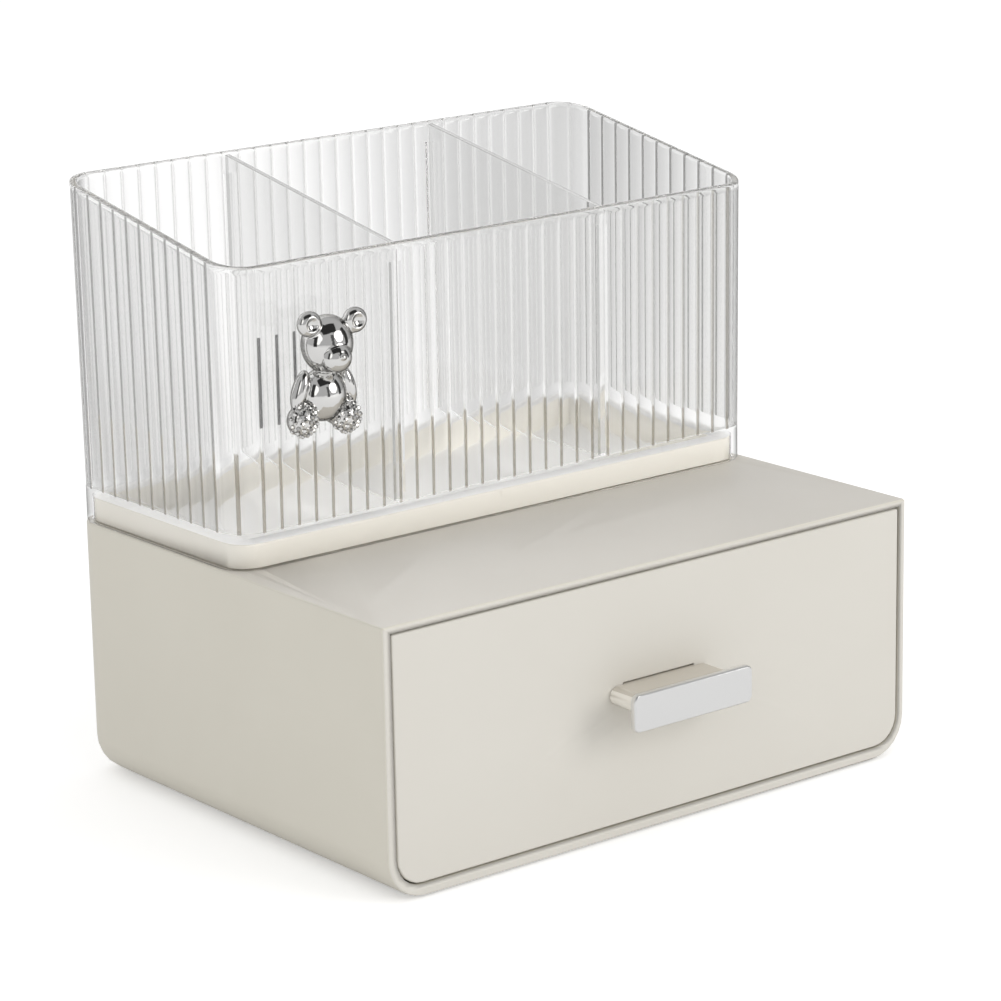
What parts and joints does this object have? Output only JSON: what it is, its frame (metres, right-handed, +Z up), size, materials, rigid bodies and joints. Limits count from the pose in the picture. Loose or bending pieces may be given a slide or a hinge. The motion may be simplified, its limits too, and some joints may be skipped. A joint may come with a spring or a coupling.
{
  "type": "cosmetic organizer box",
  "caption": "Desk-top cosmetics organizer with a flush drawer in its case, a clear fluted cup with compartments on its roof and a chrome bear charm.",
  "frame": {"origin": "under the middle of the whole object's bounding box, on the plane that its feet stand on", "axes": "+X to the object's right seen from its front, +Y from the front to the back, +Z up; the drawer's front faces -Y"},
  "size_m": [0.2004, 0.1718, 0.1868],
  "materials": {
    "cream_plastic": "satin, injection moulded",
    "light_cream_plastic": "satin, injection moulded",
    "clear_plastic": "clear, polished",
    "chrome": "polished",
    "satin_metal": "satin",
    "screw_steel": "plain",
    "soft_foot": "matt",
    "adhesive_pad": "matt"
  },
  "bodies": {
    "case": {"case_shell": "cream_plastic", "base_tray": "light_cream_plastic", "tray_screw_front_left": "screw_steel", "tray_screw_front_right": "screw_steel", "tray_screw_back_left": "screw_steel", "tray_screw_back_right": "screw_steel", "foot_front_left": "soft_foot", "foot_front_right": "soft_foot", "foot_back_left": "soft_foot", "foot_back_right": "soft_foot"},
    "drawer": {"drawer_front": "light_cream_plastic", "drawer_body": "cream_plastic", "handle_stem": "cream_plastic", "handle_plate": "satin_metal", "handle_screw_left": "screw_steel", "handle_screw_right": "screw_steel"},
    "cup": {"organizer_cup": "clear_plastic", "bear_charm": "chrome", "bear_pad": "adhesive_pad"},
    "left_divider": {"divider_left": "clear_plastic"},
    "right_divider": {"divider_right": "clear_plastic"}
  },
  "joints": [
    {"name": "drawer_slide", "type": "slide", "parent": "case", "child": "drawer", "axis": [0, -1, 0], "range_m": [0, 0.109]},
    {"name": "cup_lift", "type": "slide", "parent": "case", "child": "cup", "axis": [0, 0, 1], "range_m": [0, 0.04]},
    {"name": "divider_left_lift", "type": "slide", "parent": "cup", "child": "left_divider", "axis": [0, 0, 1], "range_m": [0, 0.09]},
    {"name": "divider_right_lift", "type": "slide", "parent": "cup", "child": "right_divider", "axis": [0, 0, 1], "range_m": [0, 0.09]}
  ]
}
